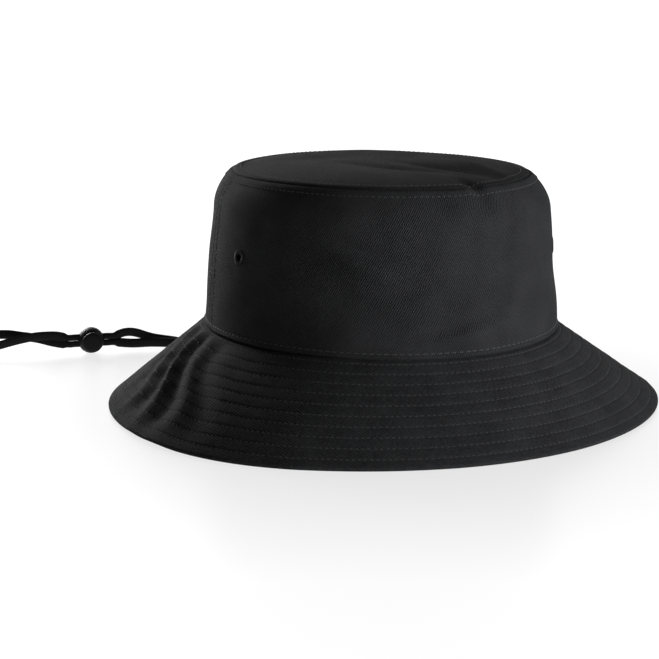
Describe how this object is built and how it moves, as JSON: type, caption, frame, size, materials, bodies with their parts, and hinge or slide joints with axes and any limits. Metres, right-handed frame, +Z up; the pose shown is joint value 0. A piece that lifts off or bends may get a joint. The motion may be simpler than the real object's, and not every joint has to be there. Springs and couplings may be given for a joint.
{
  "type": "bucket hat",
  "caption": "Wide-brimmed cloth bucket hat with a stitched brim, vent eyelets and a chin cord with a sliding ball cord lock.",
  "frame": {"origin": "middle of the hat's own box on the plane that the brim's edge stands on", "axes": "+Z up, front of the hat towards -Y, wearer's left towards +X"},
  "size_m": [0.3917, 0.3358, 0.1235],
  "materials": {
    "twill_cloth": "matt cotton twill with a fine diagonal rib",
    "brim_stiffener": "matt non-woven lining",
    "sweatband_cloth": "soft plain weave",
    "seam_tape": "ribbed binding tape",
    "sewing_thread": "lightly glossy twisted thread",
    "label_cloth": "satin woven label, blank",
    "cord_braid": "soft flat braid",
    "lock_plastic": "moulded, finely textured",
    "spring_steel": "drawn wire"
  },
  "bodies": {
    "hat": {"crown_tip": "twill_cloth", "side_band_front": "twill_cloth", "side_band_back": "twill_cloth", "brim_top_front": "twill_cloth", "brim_top_back": "twill_cloth", "brim_lining_front": "brim_stiffener", "brim_lining_back": "brim_stiffener", "brim_under_front": "twill_cloth", "brim_under_back": "twill_cloth", "sweatband": "sweatband_cloth", "tip_seam_tape": "seam_tape", "side_seam_tape_left": "seam_tape", "side_seam_tape_right": "seam_tape", "eyelet_left_front": "sewing_thread", "eyelet_left_back": "sewing_thread", "eyelet_right_front": "sewing_thread", "eyelet_right_back": "sewing_thread", "cord_tab_left": "seam_tape", "cord_tab_right": "seam_tape", "size_label": "label_cloth", "tip_stitch_upper": "sewing_thread", "tip_stitch_lower": "sewing_thread", "base_stitch": "sewing_thread", "brim_stitch": "sewing_thread", "chin_cord": "cord_braid"},
    "cord_lock": {"cord_lock_body": "lock_plastic", "cord_lock_spring": "spring_steel"},
    "cord_lock_button": {"cord_lock_button": "lock_plastic"}
  },
  "joints": [
    {"name": "cord_lock_slide", "type": "slide", "parent": "hat", "child": "cord_lock", "axis": [1, 0, 0], "range_m": [-0.006, 0.006]},
    {"name": "button_press", "type": "slide", "parent": "cord_lock", "child": "cord_lock_button", "axis": [0, 1, 0], "range_m": [0, 0.0022], "stiffness_N_per_m": 500, "springref_m": -0.001, "deforming": ["cord_lock_spring"]}
  ]
}
